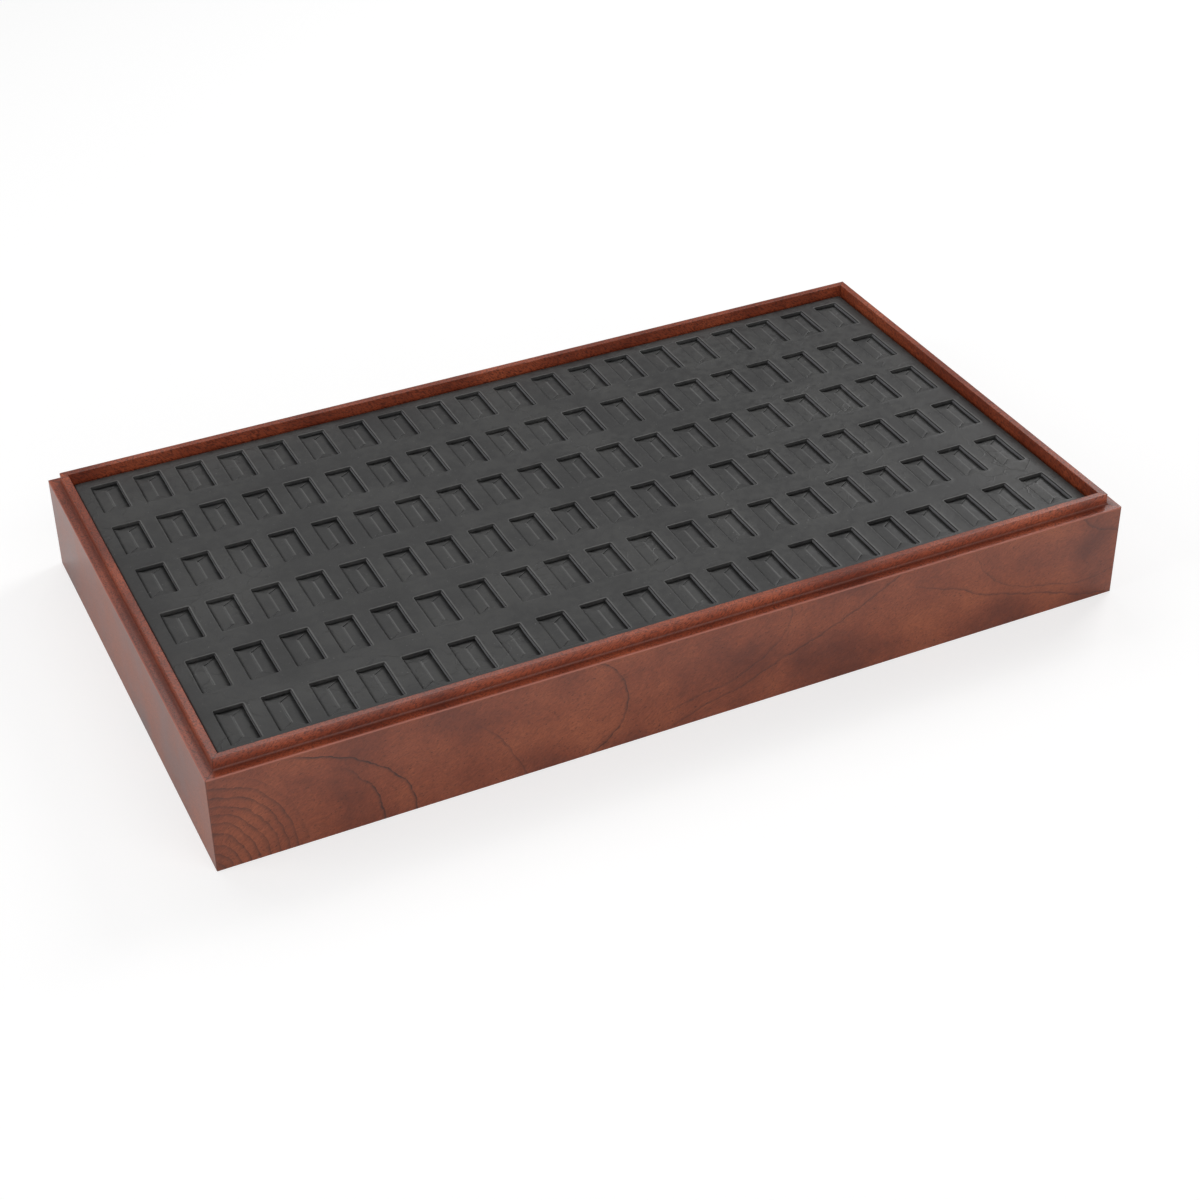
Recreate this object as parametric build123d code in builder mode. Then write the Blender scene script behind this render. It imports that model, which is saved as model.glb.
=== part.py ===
from build123d import *
import os

# A stacking ring display tray: a mitred hardwood frame with a stepped rim, a bottom panel let up
# into a rebate, and a lift-out padded insert with one four-flap slot for each ring.
# Millimetres. The origin is the middle of the underside, +X to the right, +Y to the back, +Z up.

# Frame
tray_length = 375.0  # outside, along X
tray_width = 210.0  # outside, along Y
wall_height = 40.5  # underside to the ledge that a stacked tray rests on
rim_height = 4.7  # ledge to the top of the rim
board_thickness = 7.1
ledge_width = 4.2  # what the step takes off the board, so the rim keeps the rest
cove_radius = 0.8  # hollow at the foot of the rim
rim_outer_round = 0.4
rim_inner_round = 0.3
ledge_edge_round = 0.35
foot_edge_round = 0.3
corner_round = 0.6  # upright outer corners of wall and rim

# Stacking recess and bottom
stacking_clearance = 0.4  # each side, between this recess and the rim of the tray below
stacking_headroom = 0.4  # above that rim
felt_thickness = 1.0
felt_border = 1.2  # plain panel left round the felt
panel_thickness = 3.0
panel_clearance = 0.15  # each side, in the rebate

# Loose tongues in the mitres
spline_thickness = 2.0
spline_width = 5.0
spline_end_margin = 4.0  # wood left above and below a tongue
spline_clearance = 0.05

# Battens that hold the insert up
batten_width = 8.0
batten_height = 5.3
batten_chamfer = 0.6

# Insert
insert_clearance = 1.0  # each side, between the insert and the walls
insert_drop = 4.4  # top of the rim down to the insert's face
cover_thickness = 0.6
cover_edge_round = 1.0
cover_corner_round = 1.5
hem_width = 12.0  # cover turned under the backing board
window_board_thickness = 1.4
backing_thickness = 2.4
board_fit = 0.1  # each side, between the insert's boards and its cover

# Ring pockets
pocket_width = 11.1  # window in the cover, along X
pocket_length = 20.9  # along Y
pocket_pitch_x = 17.7
pocket_pitch_y = 32.3
border_least = 5.5  # least plain face between the outer pockets and the insert's edge
crown_gap = 0.2  # between the cushion in a window and the turned-in edge of the cover
crown_height = 1.35  # rise of the four flaps from the window's foot to the slit
hip_run = 4.2  # along Y, from the end of a cushion to the end of its slit
slit_width = 0.4
slit_depth = 15.0
branch_width = 0.3  # the four cuts from the slit towards the corners
branch_stop = 0.5  # foam left at the tip of each branch, along X

# Heights and outlines that follow from these
total_height = wall_height + rim_height
recess_depth = rim_height + stacking_headroom
panel_bottom = recess_depth + felt_thickness
panel_top = panel_bottom + panel_thickness
lip_thickness = ledge_width - stacking_clearance
inner_length = tray_length - 2 * board_thickness
inner_width = tray_width - 2 * board_thickness

insert_length = inner_length - 2 * insert_clearance
insert_width = inner_width - 2 * insert_clearance
insert_bottom = panel_top + batten_height
face_height = total_height - insert_drop
core_length = insert_length - 2 * cover_thickness - 2 * board_fit
core_width = insert_width - 2 * cover_thickness - 2 * board_fit
backing_bottom = insert_bottom + cover_thickness
pad_bottom = backing_bottom + backing_thickness
window_board_top = face_height - cover_thickness
pad_top = window_board_top - window_board_thickness

columns = int((insert_length - 2 * border_least - pocket_width) // pocket_pitch_x) + 1
rows = int((insert_width - 2 * border_least - pocket_length) // pocket_pitch_y) + 1

os.makedirs("parts", exist_ok=True)


def save(piece, name):
    piece.part.label = name
    export_step(piece.part, f"parts/{name}.step")
    print(f"{name}: {piece.part.volume:.0f} mm3")


# One grid for the windows, the cushions and the slits, so that they always line up
def pocket_grid():
    return GridLocations(pocket_pitch_x, pocket_pitch_y, columns, rows)


# Frame boards

# Cross-section of a wall: x runs inwards from the outer face and y runs up. The step outside the
# top is the ledge and rim. The rebate inside the foot holds the panel and leaves the recess.
def wall_section():
    with BuildSketch(mode=Mode.PRIVATE) as section:
        with BuildLine():
            Polyline(
                (0, 0),
                (0, wall_height),
                (ledge_width, wall_height),
                (ledge_width, total_height),
                (board_thickness, total_height),
                (board_thickness, panel_top),
                (lip_thickness, panel_top),
                (lip_thickness, 0),
                close=True,
            )
        make_face()
        for corner, radius in (
            ((0, 0), foot_edge_round),
            ((lip_thickness, 0), foot_edge_round),
            ((0, wall_height), ledge_edge_round),
            ((ledge_width, wall_height), cove_radius),
            ((ledge_width, total_height), rim_outer_round),
            ((board_thickness, total_height), rim_inner_round),
        ):
            fillet(section.vertices().sort_by_distance(corner)[0], radius)
    return section.sketch


# Outline that rounds the upright corners, first of the walls and the cove, then of the rim
with BuildPart() as corner_envelope:
    with BuildSketch():
        RectangleRounded(tray_length, tray_width, corner_round)
    extrude(amount=wall_height + cove_radius)
    with BuildSketch(Plane.XY.offset(wall_height + cove_radius)):
        RectangleRounded(tray_length - 2 * ledge_width, tray_width - 2 * ledge_width, corner_round)
    extrude(amount=rim_height - cove_radius)

# Middles of the four mitres, and the turn that lays a tongue across each
mitre_x = (tray_length - board_thickness) / 2
mitre_y = (tray_width - board_thickness) / 2
mitres = {
    "front_left": (-mitre_x, -mitre_y, -45),
    "front_right": (mitre_x, -mitre_y, 45),
    "back_left": (-mitre_x, mitre_y, 45),
    "back_right": (mitre_x, mitre_y, -45),
}
spline_bottom = panel_top + spline_end_margin
spline_height = wall_height - spline_end_margin - spline_bottom

with BuildPart() as spline_slots:
    with BuildSketch(Plane.XY.offset(spline_bottom)):
        for x, y, turn in mitres.values():
            with Locations((x, y)):
                Rectangle(
                    spline_width + 2 * spline_clearance,
                    spline_thickness + 2 * spline_clearance,
                    rotation=turn,
                )
    extrude(amount=spline_height)

# Each wall is named with its inward direction, its outer face's distance and its outer length
walls = {
    "front_board": (Vector(0, 1, 0), tray_width / 2, tray_length),
    "back_board": (Vector(0, -1, 0), tray_width / 2, tray_length),
    "left_board": (Vector(1, 0, 0), tray_length / 2, tray_width),
    "right_board": (Vector(-1, 0, 0), tray_length / 2, tray_width),
}
for name, (inward, distance, run) in walls.items():
    along = inward.cross(Vector(0, 0, 1))
    outer_middle = inward * -distance
    with BuildPart() as board:
        with BuildSketch(Plane(outer_middle, x_dir=inward, z_dir=along)):
            add(wall_section())
        extrude(amount=run / 2, both=True)
        # Both ends mitred at 45 degrees
        with BuildSketch(Plane(outer_middle, x_dir=along, z_dir=(0, 0, 1))):
            with BuildLine():
                Polyline(
                    (-run / 2, 0),
                    (run / 2, 0),
                    (run / 2 - board_thickness, board_thickness),
                    (board_thickness - run / 2, board_thickness),
                    close=True,
                )
            make_face()
        extrude(amount=total_height, mode=Mode.INTERSECT)
        add(corner_envelope.part, mode=Mode.INTERSECT)
        add(spline_slots.part, mode=Mode.SUBTRACT)
    save(board, name)

for name, (x, y, turn) in mitres.items():
    with BuildPart() as mitre_spline:
        with BuildSketch(Plane.XY.offset(spline_bottom)):
            with Locations((x, y)):
                Rectangle(spline_width, spline_thickness, rotation=turn)
        extrude(amount=spline_height)
    save(mitre_spline, f"mitre_spline_{name}")


# Bottom

panel_length = tray_length - 2 * (lip_thickness + panel_clearance)
panel_width = tray_width - 2 * (lip_thickness + panel_clearance)

with BuildPart() as bottom_panel:
    with BuildSketch(Plane.XY.offset(panel_bottom)):
        Rectangle(panel_length, panel_width)
    extrude(amount=panel_thickness)
save(bottom_panel, "bottom_panel")

with BuildPart() as underside_felt:
    with BuildSketch(Plane.XY.offset(recess_depth)):
        Rectangle(panel_length - 2 * felt_border, panel_width - 2 * felt_border)
    extrude(amount=felt_thickness)
save(underside_felt, "underside_felt")

# Battens on the panel: one along each wall and one across the middle, all with eased top edges
side_run = inner_width - 2 * batten_width
batten_x = (inner_length - batten_width) / 2
batten_y = (inner_width - batten_width) / 2
battens = {
    "front_batten": (0, -batten_y, inner_length, batten_width),
    "back_batten": (0, batten_y, inner_length, batten_width),
    "left_batten": (-batten_x, 0, batten_width, side_run),
    "right_batten": (batten_x, 0, batten_width, side_run),
    "middle_batten": (0, 0, batten_width, side_run),
}
for name, (x, y, size_x, size_y) in battens.items():
    long_axis = Axis.X if size_x > size_y else Axis.Y
    with BuildPart() as batten:
        with BuildSketch(Plane.XY.offset(panel_top)):
            with Locations((x, y)):
                Rectangle(size_x, size_y)
        extrude(amount=batten_height)
        top_edges = batten.edges().group_by(Axis.Z)[-1].filter_by(long_axis)
        chamfer(top_edges, batten_chamfer)
    save(batten, name)


# Insert

# Cover: a skin drawn over the insert, turned down into each window and hemmed underneath
with BuildPart() as window_cover:
    with BuildSketch(Plane.XY.offset(insert_bottom)):
        Rectangle(insert_length, insert_width)
    extrude(amount=face_height - insert_bottom)
    fillet(window_cover.edges().filter_by(Axis.Z), cover_corner_round)
    fillet(window_cover.edges().group_by(Axis.Z)[-1], cover_edge_round)
    with BuildSketch(Plane.XY.offset(backing_bottom)):
        Rectangle(insert_length - 2 * cover_thickness, insert_width - 2 * cover_thickness)
    extrude(amount=window_board_top - backing_bottom, mode=Mode.SUBTRACT)
    with BuildSketch(Plane.XY.offset(insert_bottom)):
        Rectangle(insert_length - 2 * hem_width, insert_width - 2 * hem_width)
    extrude(amount=cover_thickness, mode=Mode.SUBTRACT)
    with BuildSketch(Plane.XY.offset(pad_top)):
        with pocket_grid():
            Rectangle(pocket_width + 2 * cover_thickness, pocket_length + 2 * cover_thickness)
    extrude(amount=window_board_thickness)
    with BuildSketch(Plane.XY.offset(pad_top)):
        with pocket_grid():
            Rectangle(pocket_width, pocket_length)
    extrude(amount=face_height - pad_top, mode=Mode.SUBTRACT)
save(window_cover, "window_cover")

with BuildPart() as window_board:
    with BuildSketch(Plane.XY.offset(pad_top)):
        Rectangle(core_length, core_width)
        with pocket_grid():
            Rectangle(
                pocket_width + 2 * cover_thickness,
                pocket_length + 2 * cover_thickness,
                mode=Mode.SUBTRACT,
            )
    extrude(amount=window_board_thickness)
save(window_board, "window_board")

# One cushion: a low hipped crown that bulges up into its window
crown_width = pocket_width - 2 * crown_gap
crown_length = pocket_length - 2 * crown_gap
slit_length = crown_length - 2 * hip_run

# The hipped form is where a ridge along Y and a ridge along X pass through each other
with BuildPart() as crown:
    for plane, base, top, reach in (
        (Plane.XZ, crown_width, slit_width, crown_length),
        (Plane.YZ, crown_length, slit_length, crown_width),
    ):
        with BuildSketch(plane):
            with BuildLine():
                Polyline(
                    (-base / 2, pad_top),
                    (base / 2, pad_top),
                    (top / 2, pad_top + crown_height),
                    (-top / 2, pad_top + crown_height),
                    close=True,
                )
            make_face()
        extrude(
            amount=reach / 2,
            both=True,
            mode=Mode.ADD if plane == Plane.XZ else Mode.INTERSECT,
        )


# Outline of one cut: a slit along Y that forks into two branches at each end, which frees four
# flaps. Only the right half of one end is worked out, and the rest is its mirror image.
def flap_cut():
    branch = Vector(crown_width / 2 - slit_width / 2, hip_run)
    across = Vector(-branch.Y, branch.X).normalized() * branch_width / 2
    fork = Vector(slit_width / 2, slit_length / 2)
    tip = fork + branch * (1 - branch_stop / branch.X)
    # The lower side of the branch meets the slit's side, its upper side meets the centre line
    lower = fork - across
    armpit = (slit_width / 2, lower.Y + (slit_width / 2 - lower.X) * branch.Y / branch.X)
    upper = fork + across
    crotch = (0, upper.Y - upper.X * branch.Y / branch.X)
    with BuildSketch(mode=Mode.PRIVATE) as cut:
        with BuildLine():
            Polyline((0, 0), (slit_width / 2, 0), armpit, (tip.X, tip.Y), crotch, (0, 0))
        make_face()
        mirror(about=Plane.YZ)
        mirror(about=Plane.XZ)
    return cut.sketch


with BuildPart() as ring_pad:
    with BuildSketch(Plane.XY.offset(pad_bottom)):
        Rectangle(core_length, core_width)
    extrude(amount=pad_top - pad_bottom)
    with pocket_grid():
        add(crown.part)
    with BuildSketch(Plane.XY.offset(pad_top + crown_height)):
        with pocket_grid():
            add(flap_cut())
    extrude(amount=-slit_depth, mode=Mode.SUBTRACT)
save(ring_pad, "ring_pad")

with BuildPart() as insert_backing:
    with BuildSketch(Plane.XY.offset(backing_bottom)):
        Rectangle(core_length, core_width)
    extrude(amount=backing_thickness)
save(insert_backing, "insert_backing")

print(f"{columns} columns by {rows} rows of ring slots")
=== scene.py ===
import math
import random

import bpy
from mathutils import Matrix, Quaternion, Vector


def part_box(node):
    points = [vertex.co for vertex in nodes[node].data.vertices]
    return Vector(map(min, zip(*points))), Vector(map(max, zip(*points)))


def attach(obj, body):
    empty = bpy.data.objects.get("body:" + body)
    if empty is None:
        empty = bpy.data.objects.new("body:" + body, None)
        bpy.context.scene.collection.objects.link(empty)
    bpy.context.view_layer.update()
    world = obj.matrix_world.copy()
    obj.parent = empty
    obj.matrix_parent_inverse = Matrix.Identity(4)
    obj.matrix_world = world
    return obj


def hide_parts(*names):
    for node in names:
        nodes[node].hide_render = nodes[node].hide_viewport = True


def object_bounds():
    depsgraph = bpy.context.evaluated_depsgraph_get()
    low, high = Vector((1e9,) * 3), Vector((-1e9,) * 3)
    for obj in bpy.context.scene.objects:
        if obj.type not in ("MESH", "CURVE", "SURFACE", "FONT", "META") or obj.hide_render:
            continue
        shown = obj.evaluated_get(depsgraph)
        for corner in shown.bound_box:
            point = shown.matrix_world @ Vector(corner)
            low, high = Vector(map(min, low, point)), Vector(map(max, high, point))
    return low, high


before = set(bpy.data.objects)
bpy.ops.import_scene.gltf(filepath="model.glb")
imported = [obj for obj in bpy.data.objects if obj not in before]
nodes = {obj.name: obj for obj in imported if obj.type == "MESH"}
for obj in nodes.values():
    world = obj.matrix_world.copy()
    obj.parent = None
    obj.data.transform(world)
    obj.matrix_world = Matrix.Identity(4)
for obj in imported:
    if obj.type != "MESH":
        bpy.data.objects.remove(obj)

mm = 0.001
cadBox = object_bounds()
print("frame loaded:", len(nodes), "nodes")


# Helpers

def linearColor(hexCode):
    channels = [int(hexCode[i:i + 2], 16) / 255 for i in (1, 3, 5)]
    linear = [c / 12.92 if c <= 0.04045 else ((c + 0.055) / 1.055) ** 2.4 for c in channels]
    return (*linear, 1.0)


# Adds a node. A key of settings is a property or an input, by name or number, and links feed inputs.
def addNode(tree, kind, settings=None, links=None):
    node = tree.nodes.new("ShaderNode" + kind)
    for key, value in (settings or {}).items():
        if isinstance(key, str) and hasattr(node, key):
            setattr(node, key, value)
        else:
            pick(node.inputs, key).default_value = value
    for key, source in (links or {}).items():
        if isinstance(source, bpy.types.Node):
            source = next(s for s in source.outputs if s.enabled)
        tree.links.new(source, pick(node.inputs, key))
    return node


def pick(sockets, key):
    return sockets[key] if isinstance(key, int) else next(s for s in sockets if s.name == key and s.enabled)


def newMaterial(name):
    material = bpy.data.materials.new(name)
    material.use_nodes = True
    material.node_tree.nodes.clear()
    return material, material.node_tree


def finishMaterial(tree, settings, links):
    shader = addNode(tree, "BsdfPrincipled", settings, links)
    addNode(tree, "OutputMaterial", links={"Surface": shader})


def colorStops(node, stops):
    ramp = node.color_ramp
    while len(ramp.elements) < len(stops):
        ramp.elements.new(0.5)
    for element, (position, color) in zip(ramp.elements, stops):
        element.position = position
        element.color = linearColor(color)
    return node


# Turns a value into a share: 0 at the span's first end and 1 at its last, times most
def showing(tree, value, span, most=1.0):
    return addNode(tree, "MapRange", {"From Min": span[0], "From Max": span[1], "To Max": most},
                   {"Value": value})


# Lays a flat colour over what is there, as far as share says
def tint(tree, color, over, share):
    return addNode(tree, "Mix", {"data_type": "RGBA", "B": linearColor(over)},
                   {"Factor": share, "A": color})


def dress(objectName, material):
    target = bpy.data.objects[objectName]
    target.data.materials.clear()
    target.data.materials.append(material)


def newPiece(name, shell, material, smooth=True):
    mesh = bpy.data.meshes.new(name)
    mesh.from_pydata([(x * mm, y * mm, z * mm) for x, y, z in shell["points"]], [], shell["faces"])
    mesh.validate()
    piece = bpy.data.objects.new(name, mesh)
    bpy.context.scene.collection.objects.link(piece)
    mesh.materials.append(material)
    if smooth:
        mesh.shade_smooth()
    else:
        mesh.shade_flat()
    return piece


# A mesh under way: its points and faces, and where each point is in the list
def newShell():
    return {"points": [], "faces": [], "index": {}}


# Puts a point into a shell once, however often it is asked for
def shellPoint(shell, x, y, z):
    key = (round(x, 4), round(y, 4), round(z, 4))
    if key not in shell["index"]:
        shell["index"][key] = len(shell["points"])
        shell["points"].append((x, y, z))
    return shell["index"][key]


# Faces between two rings. Where the rings share a point, a face has one corner less or is left out.
def joinRings(shell, ringA, ringB):
    for i in range(len(ringA)):
        j = (i + 1) % len(ringA)
        corners = [ringA[i], ringA[j], ringB[j], ringB[i]]
        corners = [c for n, c in enumerate(corners) if c not in corners[:n]]
        if len(corners) > 2:
            shell["faces"].append(corners)


# Places round the edge of a grid of points, counter-clockwise
def gridRim(lastX, lastY):
    rim = [(i, 0) for i in range(lastX)] + [(lastX, j) for j in range(lastY)]
    return rim + [(i, lastY) for i in range(lastX, 0, -1)] + [(0, j) for j in range(lastY, 0, -1)]


# Camera: stands left of the front, looks down on the tray and back to the right

view = {
    "spot": (-0.3180, -0.6895, 0.5318),
    "heading": 24.56,  # degrees right of straight back
    "dip": 33.43,  # degrees below the horizon
    "roll": 1.13,
    "lens": 67.96,
    "sensor": 36.0,
    "shift": (0.0249, -0.0715),
}

heading, dip = math.radians(view["heading"]), math.radians(view["dip"])
ahead = Vector((math.sin(heading) * math.cos(dip), math.cos(heading) * math.cos(dip), -math.sin(dip)))
cameraData = bpy.data.cameras.new("camera")
camera = bpy.data.objects.new("camera", cameraData)
bpy.context.scene.collection.objects.link(camera)
camera.location = view["spot"]
camera.rotation_mode = "QUATERNION"
roll = Quaternion((0, 0, 1), -math.radians(view["roll"]))
camera.rotation_quaternion = ahead.to_track_quat("-Z", "Y") @ roll
cameraData.sensor_width, cameraData.lens = view["sensor"], view["lens"]
cameraData.shift_x, cameraData.shift_y = view["shift"]
bpy.context.scene.camera = camera
print("camera placed")


# Stained wood: open-pored mahogany-type hardwood, planed, stained red brown and lacquered satin.
# The eye sees short dark pores, faint cross-fibre shimmer, thin dark growth lines on the flat-sawn
# faces and a soft white sheen where the face is seen nearly edge-on.

wood = {
    "deep": "#5c2819",
    "body": "#803f27",
    "warm": "#995234",
    "toneStops": (0.30, 0.50, 0.74),  # where the broad noise turns deep, body and warm
    "growthLine": "#2c1a18",
    "pore": "#38180f",
    "streak": "#3a1710",
    # painted highlight along the ledge's outer arris
    "arrisHighlight": "#b9705f",
    "ior": 1.5,
    "roughness": 0.36,
    "roughnessPlay": (-0.05, 0.08),  # the lacquer is slightly uneven
    "coveRoughness": 0.75,
    "coat": 0.15,
    "coatRoughness": 0.16,
    "patch": 34.0,  # mm, broad changes of tone
    "wander": 9.0,  # mm, how far the grain strays
    "wanderScale": 0.035,  # bends in each mm
    "fibreShade": (0.74, 1.26),
    "poreDark": 0.7,
    "streakOnFace": 0.1,
    "streakOnRim": 0.7,
    "streakStart": (0.15, 0.5),  # mm into the board, where the streaks set in
    "rimStart": (0.15, 0.6),  # mm into the board, where rim and ledge begin
    "rimPaintedLight": (1.45, 1.24, 1.18),  # painted light: rim and ledge made lighter and redder than the face
    "relief": 0.05,  # mm
    "reliefStrength": 0.35,
    "fibreRise": 0.35,  # share of a pore's depth
}

# Grain figures: mm along and across a stroke, degrees it leans up and inward, its noise, and the
# span of the noise over which it shows
figures = {
    "streak": {"size": (3.4, 0.5), "lean": (-38, 24), "seedStep": 2, "detail": 3.0, "roughness": 0.6,
               "distortion": 0.4, "shows": (0.49, 0.58)},
    "fibre": {"size": (2.2, 0.8), "lean": (-30, 0), "seedStep": 3, "detail": 2.5, "roughness": 0.65,
              "distortion": 1.3, "shows": (0.3, 0.7)},
    "pore": {"size": (1.1, 0.45), "lean": (-25, 0), "seedStep": 4, "detail": 1.0, "roughness": 0.4,
             "distortion": 0.0, "shows": (0.63, 0.73)},
    "arch": {"size": (170.0, 42.0), "lean": (0, 0), "seedStep": 5, "detail": 1.0, "roughness": 0.3,
             "distortion": 0.0},
}

# Where the tone changes at an edge: stain and painted shade in the cove, a painted highlight on the arris,
# and a dark joint at the mitre. Mm into the board and up for the two edges, the mm over which the tone
# fades away from each place, and how strong it is there
edges = {
    "cove": {"place": (4.2, 40.5), "fade": (0.3, 2.2), "strength": 0.7},
    "arrisHighlight": {"place": (0.15, 40.35), "fade": (0.21, 0.49), "strength": 0.6},
    "mitre": {"fade": (0.1, 0.24), "strength": 0.75},
}

# How each board's own axes lie: x along it as seen from outside, y into it, z up
boards = {
    "front_board": {"turn": 0, "seed": 3.0},
    "right_board": {"turn": -90, "seed": 11.0},
    "back_board": {"turn": 180, "seed": 23.0},
    "left_board": {"turn": 90, "seed": 37.0},
}
cadSize = [(cadBox[1][i] - cadBox[0][i]) / mm for i in range(3)]

# Growth lines on the front board, in mm along and up its outer face: ellipse centre, radii, the
# place along the board from which the line shows, and how dark it is
frontLines = [
    ((0, 0), (63, 43), 50, 0.9),
    ((0, 0), (75, 43), 30, 1.0),
    ((2, -4), (116, 60), 98, 0.5),
    ((136, 22), (22, 22), 140, 0.75),
    ((150, 36), (76, 29), 172, 0.5),
    ((60, 430), (444, 444), 176, 0.65),
    ((430, 300), (305, 305), 282, 0.6),
    ((360, 44), (53, 34), 306, 0.45),
    ((392, 78), (52, 52), 350, 0.5),
]
frontKnot = {"centre": (-2, -3), "radii": (36, 44), "rings": 11.0, "sharpness": 4.0,
             "edge": (1.05, 0.9), "dark": 0.7}

growth = {
    "wobble": 2.4,  # mm
    "wobbleScale": 0.22,
    "outerSide": (0.42, 0.12),  # mm outside a line over which it sets in
    "innerSide": (-1.3, 0.05),  # mm inside it over which it dies away
    "innerFall": 2.0,
    "start": (-4, 8),  # mm along the board about its start over which a line appears
    "breakScale": 0.35,
    "breakShows": (0.3, 0.55),
    "brokenTone": 0.55,
    "onFace": (0.25, 0.1),  # mm into the board, where the lines end
    "arches": 26.0,
    "archSharpness": 7.0,
    "archDark": 0.5,
}


def stainedWood(name):
    seed = boards[name]["seed"]
    material, tree = newMaterial("stained_lacquered_wood_" + name)
    inMm, along, inward, up, run = boardPlace(tree, boards[name])
    wandered = wanderingGrain(tree, inMm, seed)
    patch = addNode(tree, "TexNoise", {
        "noise_dimensions": "4D", "W": seed + 1, "Scale": 1 / wood["patch"], "Detail": 3.0,
        "Roughness": 0.55,
    }, {"Vector": wandered})
    fibre = grainFigure(tree, wandered, seed, figures["fibre"])
    pore = showing(tree, grainFigure(tree, wandered, seed, figures["pore"]), figures["pore"]["shows"])

    color = stainTone(tree, wandered, inward, patch, fibre, seed)
    poreDark = addNode(tree, "Math", {"operation": "MULTIPLY", 1: wood["poreDark"]}, {0: pore})
    color = tint(tree, color, wood["pore"], poreDark)
    if name == "front_board":
        lines = growthLines(tree, wandered, along, seed)
        color = tint(tree, color, wood["growthLine"], faceOnly(tree, lines, inward))
    elif name in ("right_board", "back_board"):
        lines = archedLines(tree, wandered, seed)
        color = tint(tree, color, wood["growthLine"], faceOnly(tree, lines, inward))
    # Cove darkened: stain gathered there, and painted shade in the corner under the rim
    coveStainAndShade = nearEdge(tree, inward, up, edges["cove"])
    color = tint(tree, color, wood["deep"], coveStainAndShade)
    # Painted highlight along the ledge's outer arris
    color = tint(tree, color, wood["arrisHighlight"], nearEdge(tree, inward, up, edges["arrisHighlight"]))
    color = tint(tree, color, wood["pore"], nearMitre(tree, along, inward, run))

    # Relief: pores sunk and fibres raised a little
    height = addNode(tree, "Math", {"operation": "MULTIPLY_ADD", 1: wood["fibreRise"]}, {
        0: fibre, 2: addNode(tree, "Math", {"operation": "MULTIPLY", 1: -1.0}, {0: pore}),
    })
    relief = addNode(tree, "Bump", {"Strength": wood["reliefStrength"], "Distance": wood["relief"] * mm},
                     {"Height": height})
    least, most = (wood["roughness"] + play for play in wood["roughnessPlay"])
    satin = addNode(tree, "MapRange", {"From Min": 0.3, "From Max": 0.7, "To Min": least, "To Max": most},
                    {"Value": patch})
    roughness = addNode(tree, "Mix", {"data_type": "FLOAT", "B": wood["coveRoughness"]},
                        {"Factor": coveStainAndShade, "A": satin})
    finishMaterial(tree, {
        "IOR": wood["ior"], "Coat Weight": wood["coat"], "Coat Roughness": wood["coatRoughness"],
    }, {"Base Color": color, "Roughness": roughness, "Normal": relief})
    return material


# Place on a board in mm, also split into along, inward and up, and the board's length
def boardPlace(tree, board):
    run, reach = cadSize[0], cadSize[1]
    if board["turn"] not in (0, 180):
        run, reach = reach, run
    inMm = addNode(tree, "Mapping", {
        "Location": (run / 2, reach / 2, 0),
        "Rotation": (0, 0, math.radians(board["turn"])),
        "Scale": (1 / mm, 1 / mm, 1 / mm),
    }, {"Vector": addNode(tree, "TexCoord").outputs["Object"]})
    along, inward, up = addNode(tree, "SeparateXYZ", links={"Vector": inMm}).outputs
    return inMm, along, inward, up, run


def wanderingGrain(tree, inMm, seed):
    wander = addNode(tree, "TexNoise", {
        "noise_dimensions": "4D", "W": seed, "Scale": wood["wanderScale"], "Detail": 2.0, "Roughness": 0.5,
    }, {"Vector": inMm})
    stray = addNode(tree, "VectorMath", {
        "operation": "MULTIPLY_ADD", 1: (wood["wander"],) * 3, 2: (-wood["wander"] / 2,) * 3,
    }, {0: wander.outputs["Color"]})
    return addNode(tree, "VectorMath", {"operation": "ADD"}, {0: inMm, 1: stray})


def grainFigure(tree, place, seed, figure):
    length, width = figure["size"]
    leanUp, leanIn = (math.radians(angle) for angle in figure["lean"])
    strokes = addNode(tree, "Mapping", {
        "vector_type": "TEXTURE", "Rotation": (0, leanUp, leanIn), "Scale": (length, width, width),
    }, {"Vector": place})
    return addNode(tree, "TexNoise", {
        "noise_dimensions": "4D", "W": seed + figure["seedStep"], "Scale": 1.0, "Detail": figure["detail"],
        "Roughness": figure["roughness"], "Distortion": figure["distortion"],
    }, {"Vector": strokes})


# Broad tones, with slanted dark streaks where the cutter crossed the grain on rim and ledge, and short
# curly fibres all over
def stainTone(tree, wandered, inward, patch, fibre, seed):
    stops = zip(wood["toneStops"], (wood["deep"], wood["body"], wood["warm"]))
    tone = colorStops(addNode(tree, "ValToRGB", links={"Fac": patch}), list(stops))
    streak = grainFigure(tree, wandered, seed, figures["streak"])
    start, end = wood["streakStart"]
    offFace = addNode(tree, "MapRange", {
        "From Min": start, "From Max": end, "To Min": wood["streakOnFace"], "To Max": wood["streakOnRim"],
    }, {"Value": inward})
    streakDark = addNode(tree, "Math", {"operation": "MULTIPLY"},
                         {0: showing(tree, streak, figures["streak"]["shows"]), 1: offFace})
    streaked = tint(tree, tone, wood["streak"], streakDark)
    # Rim and ledge painted lighter and redder than the face: painted light
    paintedLighter = addNode(tree, "VectorMath", {"operation": "MULTIPLY", 1: wood["rimPaintedLight"]}, {0: streaked})
    ground = addNode(tree, "Mix", {"data_type": "RGBA"},
                     {"Factor": showing(tree, inward, wood["rimStart"]), "A": streaked, "B": paintedLighter})
    (start, end), (dark, pale) = figures["fibre"]["shows"], wood["fibreShade"]
    shade = addNode(tree, "MapRange", {"From Min": start, "From Max": end, "To Min": dark, "To Max": pale},
                    {"Value": fibre})
    return addNode(tree, "VectorMath", {"operation": "MULTIPLY"}, {0: ground, 1: shade})


def faceOnly(tree, share, inward):
    return addNode(tree, "Math", {"operation": "MULTIPLY"},
                   {0: share, 1: showing(tree, inward, growth["onFace"])})


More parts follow.
